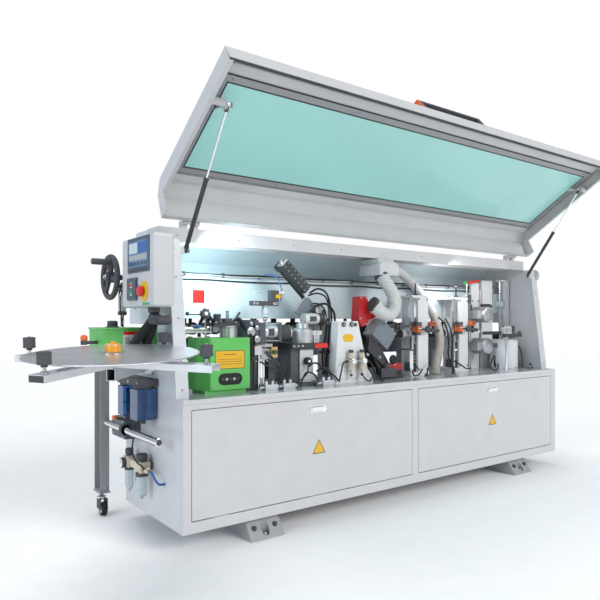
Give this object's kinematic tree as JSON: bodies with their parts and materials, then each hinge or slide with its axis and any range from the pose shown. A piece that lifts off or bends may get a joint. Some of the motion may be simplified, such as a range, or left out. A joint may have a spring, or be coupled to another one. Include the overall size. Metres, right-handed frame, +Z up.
{
  "type": "edge banding machine",
  "caption": "Automatic edge banding machine: long cabinet with an open hinged window lid over its units, chain feed with pressure beam, tape turntable and control box.",
  "frame": {"origin": "centre of the four floor anchor holes, on the floor", "axes": "+X along the feed direction, from the tape turntable to the outfeed end; -Y the operator's side; +Z up"},
  "size_m": [3.8117, 1.4087, 2.2633],
  "materials": {
    "off_white_paint": "semi-gloss powder coat",
    "light_grey_paint": "satin powder coat",
    "blue_white_paint": "satin powder coat",
    "bright_aluminium": "anodised",
    "machine_steel": "ground steel",
    "dark_steel": "dark satin enamel",
    "chrome": "polished chrome",
    "black_enamel": "gloss enamel",
    "green_paint": "gloss enamel",
    "white_paint": "gloss enamel",
    "red_paint": "gloss enamel",
    "beige_plastic": "moulded",
    "grey_hose": "ribbed hose",
    "black_hose": "corrugated rubber",
    "black_rubber": "moulded rubber",
    "black_plastic": "moulded",
    "screen_plastic": "bezel with glass screen",
    "blue_bottle": "translucent plastic",
    "mint_window": "tinted polycarbonate",
    "red_plastic": "moulded",
    "green_plastic": "moulded",
    "cotton_mop": "stitched cotton mop"
  },
  "bodies": {
    "machine": {"base_cabinet": "off_white_paint", "floor_feet": "light_grey_paint", "end_panel_left": "off_white_paint", "end_panel_right": "off_white_paint", "top_beam": "light_grey_paint", "rear_cover": "blue_white_paint", "track_beam": "dark_steel", "feed_chain": "black_rubber", "beam_columns": "machine_steel", "glue_box": "green_paint", "glue_pot": "bright_aluminium", "tape_feeder": "machine_steel", "press_unit": "bright_aluminium", "end_cut_rail": "dark_steel", "tracking_casting": "off_white_paint", "air_valves": "beige_plastic", "trim_unit": "red_paint", "dust_hoses": "grey_hose", "gantry_left": "white_paint", "gantry_right": "white_paint", "buff_unit": "bright_aluminium", "control_box": "off_white_paint", "touch_screen": "screen_plastic", "cutter_box": "green_paint", "duct_pipe": "black_hose", "turntable_arms": "bright_aluminium", "spray_bottles": "blue_bottle", "air_service": "beige_plastic", "feed_motor": "dark_steel", "slide_sleeve": "light_grey_paint"},
    "lid": {"lid_frame": "off_white_paint", "lid_window": "mint_window", "lid_handle": "black_plastic"},
    "strut_tube_left": {"strut_tube_left": "black_enamel"},
    "strut_rod_left": {"strut_rod_left": "chrome"},
    "strut_tube_right": {"strut_tube_right": "black_enamel"},
    "strut_rod_right": {"strut_rod_right": "chrome"},
    "door_left": {"door_left": "off_white_paint"},
    "door_right": {"door_right": "off_white_paint"},
    "latch_left": {"latch_left": "chrome"},
    "latch_right": {"latch_right": "chrome"},
    "turntable": {"turntable_disc": "machine_steel"},
    "guide_roller_1": {"guide_roller_1": "black_plastic"},
    "guide_roller_2": {"guide_roller_2": "black_plastic"},
    "guide_roller_3": {"guide_roller_3": "black_plastic"},
    "guide_roller_4": {"guide_roller_4": "black_plastic"},
    "pressure_beam": {"pressure_beam": "bright_aluminium", "pinch_rollers": "black_rubber"},
    "handwheel": {"handwheel": "black_plastic"},
    "estop_button": {"estop_button": "red_plastic"},
    "start_button": {"start_button": "green_plastic"},
    "stop_button": {"stop_button": "red_plastic"},
    "trim_saw": {"trim_saw": "machine_steel"},
    "gantry_head_left": {"gantry_head_left": "white_paint"},
    "gantry_head_right": {"gantry_head_right": "white_paint"},
    "buff_wheel_top": {"buff_wheel_top": "cotton_mop"},
    "buff_wheel_low": {"buff_wheel_low": "cotton_mop"},
    "support_leg": {"support_leg": "light_grey_paint"},
    "caster_fork": {"caster_fork": "chrome"},
    "caster_wheel": {"caster_wheel": "black_rubber"}
  },
  "joints": [
    {"name": "lid_hinge", "type": "hinge", "parent": "machine", "child": "lid", "pos_m": [0, -0.095, 1.585], "axis": [1, 0, 0], "range_deg": [0, 116]},
    {"name": "strut_pivot_left", "type": "hinge", "parent": "machine", "child": "strut_tube_left", "pos_m": [-1.443, -0.18, 1.43], "axis": [1, 0, 0], "range_deg": [0, 134.48]},
    {"name": "strut_slide_left", "type": "slide", "parent": "strut_tube_left", "child": "strut_rod_left", "axis": [0, -0.5735, 0.8192], "range_m": [-0.22984, 0]},
    {"name": "strut_pivot_right", "type": "hinge", "parent": "machine", "child": "strut_tube_right", "pos_m": [1.443, -0.18, 1.43], "axis": [1, 0, 0], "range_deg": [0, 134.48]},
    {"name": "strut_slide_right", "type": "slide", "parent": "strut_tube_right", "child": "strut_rod_right", "axis": [0, -0.5735, 0.8192], "range_m": [-0.22984, 0]},
    {"name": "door_hinge_left", "type": "hinge", "parent": "machine", "child": "door_left", "pos_m": [-0.76, -0.352, 0.159], "axis": [1, 0, 0], "range_deg": [0, 90]},
    {"name": "door_hinge_right", "type": "hinge", "parent": "machine", "child": "door_right", "pos_m": [0.7535, -0.352, 0.159], "axis": [1, 0, 0], "range_deg": [0, 90]},
    {"name": "latch_pivot_left", "type": "hinge", "parent": "door_left", "child": "latch_left", "pos_m": [-0.752, -0.357, 0.626], "axis": [-1, 0, 0], "range_deg": [0, 50], "stiffness_Nm_per_rad": 0.05},
    {"name": "latch_pivot_right", "type": "hinge", "parent": "door_right", "child": "latch_right", "pos_m": [0.768, -0.357, 0.626], "axis": [-1, 0, 0], "range_deg": [0, 50], "stiffness_Nm_per_rad": 0.05},
    {"name": "turntable_spin", "type": "hinge", "parent": "machine", "child": "turntable", "pos_m": [-1.898, -0.45, 0.953], "axis": [-0.0416, -0.056, 0.9976], "continuous": true},
    {"name": "guide_roller_spin_1", "type": "hinge", "parent": "machine", "child": "guide_roller_1", "pos_m": [-2.22003, -0.66849, 0.92731], "axis": [-0.0416, -0.056, 0.9976], "continuous": true},
    {"name": "guide_roller_spin_2", "type": "hinge", "parent": "machine", "child": "guide_roller_2", "pos_m": [-1.57597, -0.23151, 0.97869], "axis": [-0.0416, -0.056, 0.9976], "continuous": true},
    {"name": "guide_roller_spin_3", "type": "hinge", "parent": "machine", "child": "guide_roller_3", "pos_m": [-1.6561, -0.80537, 0.94313], "axis": [-0.0416, -0.056, 0.9976], "continuous": true},
    {"name": "guide_roller_spin_4", "type": "hinge", "parent": "machine", "child": "guide_roller_4", "pos_m": [-2.1399, -0.09463, 0.96287], "axis": [-0.0416, -0.056, 0.9976], "continuous": true},
    {"name": "pressure_lift", "type": "slide", "parent": "machine", "child": "pressure_beam", "axis": [0, 0, 1], "range_m": [-0.008, 0.042]},
    {"name": "handwheel_turn", "type": "hinge", "parent": "pressure_beam", "child": "handwheel", "pos_m": [-1.7, 0.15, 1.309], "axis": [1, 0, 0], "range_deg": [-577, 3027]},
    {"name": "estop_press", "type": "slide", "parent": "machine", "child": "estop_button", "axis": [1, 0, 0], "range_m": [0, 0.005], "stiffness_N_per_m": 1500},
    {"name": "start_press", "type": "slide", "parent": "machine", "child": "start_button", "axis": [1, 0, 0], "range_m": [0, 0.003], "stiffness_N_per_m": 1000},
    {"name": "stop_press", "type": "slide", "parent": "machine", "child": "stop_button", "axis": [1, 0, 0], "range_m": [0, 0.003], "stiffness_N_per_m": 1000},
    {"name": "trim_saw_slide", "type": "slide", "parent": "machine", "child": "trim_saw", "axis": [0.7314, 0, -0.682], "range_m": [-0.13, 0]},
    {"name": "gantry_head_lift_left", "type": "slide", "parent": "machine", "child": "gantry_head_left", "axis": [0, 0, 1], "range_m": [-0.02, 0.02]},
    {"name": "gantry_head_lift_right", "type": "slide", "parent": "machine", "child": "gantry_head_right", "axis": [0, 0, 1], "range_m": [-0.02, 0.02]},
    {"name": "buff_wheel_spin_top", "type": "hinge", "parent": "machine", "child": "buff_wheel_top", "pos_m": [1.1, 0.091, 1.133], "axis": [0, 1, 0], "continuous": true},
    {"name": "buff_wheel_spin_low", "type": "hinge", "parent": "machine", "child": "buff_wheel_low", "pos_m": [1.1, 0.091, 0.896], "axis": [0, 1, 0], "continuous": true},
    {"name": "support_slide", "type": "slide", "parent": "machine", "child": "support_leg", "axis": [0, 1, 0], "range_m": [0, 0.4]},
    {"name": "caster_swivel", "type": "hinge", "parent": "support_leg", "child": "caster_fork", "pos_m": [-1.625, 0.502, 0.1], "axis": [0, 0, 1], "continuous": true},
    {"name": "caster_roll", "type": "hinge", "parent": "caster_fork", "child": "caster_wheel", "pos_m": [-1.625, 0.48, 0.036], "axis": [1, 0, 0], "continuous": true}
  ],
  "couplings": [
    {"joint": "strut_pivot_left", "follows": "lid_hinge", "ratio": 1.1576},
    {"joint": "strut_slide_left", "follows": "lid_hinge", "m_per_rad": -0.11343},
    {"joint": "strut_pivot_right", "follows": "lid_hinge", "ratio": 1.1576},
    {"joint": "strut_slide_right", "follows": "lid_hinge", "m_per_rad": -0.11343},
    {"joint": "handwheel_turn", "follows": "pressure_lift", "rad_per_m": 1256.6}
  ]
}
